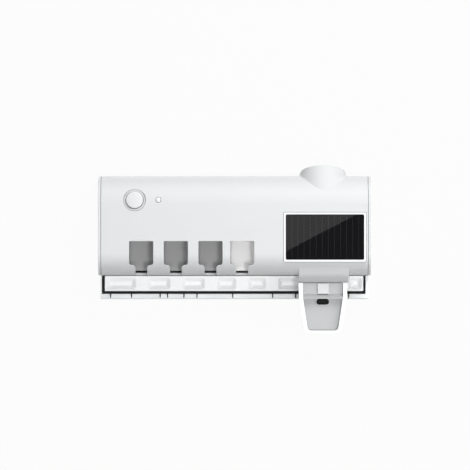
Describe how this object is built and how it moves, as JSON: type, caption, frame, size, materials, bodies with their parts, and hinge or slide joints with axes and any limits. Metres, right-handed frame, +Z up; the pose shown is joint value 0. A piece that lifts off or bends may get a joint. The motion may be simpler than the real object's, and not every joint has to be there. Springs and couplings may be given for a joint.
{
  "type": "uv_toothbrush_holder",
  "caption": "Wall-mounted UV toothbrush holder in white plastic with brush windows, solar panel, power button, leaning paste-tube collar and push-lever paste dispenser",
  "frame": {"origin": "middle of the adhesive pad's back face, which lies on the wall", "axes": "+X to the right seen from the front, +Y into the wall, +Z up"},
  "size_m": [0.244, 0.0633, 0.1506],
  "materials": {
    "white_plastic": "satin white moulded plastic",
    "cap_white_plastic": "satin white moulded plastic",
    "rear_white_plastic": "fine-textured white plastic",
    "bracket_plastic": "plain light grey plastic",
    "adhesive_foam": "closed-cell foam with adhesive",
    "bay_grey_plastic": "mid-grey plastic, faint sheen",
    "razor_bay_plastic": "off-white plastic",
    "lamp_glass": "clear quartz glass",
    "lamp_holder_plastic": "black plastic",
    "bezel_plastic": "bright glossy white",
    "solar_glass": "dark clear cover, polished",
    "solar_silicon": "near-black silicon with thin lighter lines",
    "solar_board": "black board",
    "button_plastic": "satin white",
    "ring_plastic": "pale grey, satin",
    "plunger_plastic": "black plastic",
    "switch_metal": "tinned steel",
    "circuit_board": "green solder mask",
    "lens_plastic": "clear to milky plastic",
    "battery_sleeve": "blue shrink sleeve",
    "cradle_plastic": "black plastic",
    "socket_steel": "plated steel",
    "funnel_plastic": "natural white plastic",
    "seal_silicone": "grey silicone",
    "hose_silicone": "milky silicone",
    "pump_plastic": "white plastic",
    "pin_steel": "ground steel",
    "piston_plastic": "natural white plastic",
    "spring_steel": "bright spring wire",
    "lever_plastic": "satin white moulded plastic",
    "nozzle_silicone": "black silicone",
    "block_plastic": "bright white",
    "screw_steel": "plated steel",
    "panel_plastic": "fine-textured white",
    "trim_rubber": "black soft trim"
  },
  "bodies": {
    "bracket": {"wall_bracket": "bracket_plastic", "adhesive_pad": "adhesive_foam"},
    "unit": {"front_housing": "white_plastic", "left_end_cap": "cap_white_plastic", "right_end_cap": "cap_white_plastic", "rear_shell": "rear_white_plastic", "brush_bay_1": "bay_grey_plastic", "brush_bay_2": "bay_grey_plastic", "brush_bay_3": "bay_grey_plastic", "razor_bay": "razor_bay_plastic", "uv_lamp": "lamp_glass", "lamp_holder_left": "lamp_holder_plastic", "lamp_holder_right": "lamp_holder_plastic", "solar_bezel": "bezel_plastic", "solar_cover": "solar_glass", "solar_cells": "solar_silicon", "solar_backing": "solar_board", "button_ring": "ring_plastic", "tact_switch": "switch_metal", "control_board": "circuit_board", "sensor_lens": "lens_plastic", "battery_cell": "battery_sleeve", "battery_cradle": "cradle_plastic", "charging_socket": "socket_steel", "paste_funnel": "funnel_plastic", "socket_seal": "seal_silicone", "feed_hose": "hose_silicone", "pump_body": "pump_plastic", "lever_pin": "pin_steel", "rear_screw_1": "screw_steel", "rear_screw_2": "screw_steel", "rear_screw_3": "screw_steel", "rear_screw_4": "screw_steel", "neck_rest_panel": "panel_plastic", "apron_trim": "trim_rubber"},
    "button": {"power_button": "button_plastic", "switch_plunger": "plunger_plastic"},
    "lever": {"dispenser_lever": "lever_plastic", "outlet_nozzle": "nozzle_silicone", "outlet_block": "block_plastic"},
    "plunger": {"pump_plunger": "piston_plastic", "return_spring": "spring_steel"}
  },
  "joints": [
    {"name": "unit_lift", "type": "slide", "parent": "bracket", "child": "unit", "axis": [0, 0, 1], "range_m": [0, 0.01]},
    {"name": "button_slide", "type": "slide", "parent": "unit", "child": "button", "axis": [0, 0.9781, -0.2079], "range_m": [0, 0.0008], "stiffness_N_per_m": 600, "springref_m": -0.001},
    {"name": "lever_hinge", "type": "hinge", "parent": "unit", "child": "lever", "pos_m": [0.0793, -0.0405, -0.022], "axis": [1, 0, 0], "range_deg": [0, 15], "stiffness_Nm_per_rad": 1.2, "springref_deg": -5.73},
    {"name": "plunger_slide", "type": "slide", "parent": "unit", "child": "plunger", "axis": [0, 1, 0], "range_m": [0, 0.004], "deforming": ["return_spring"]}
  ],
  "couplings": [
    {"joint": "plunger_slide", "follows": "lever_hinge", "m_per_rad": 0.015}
  ]
}
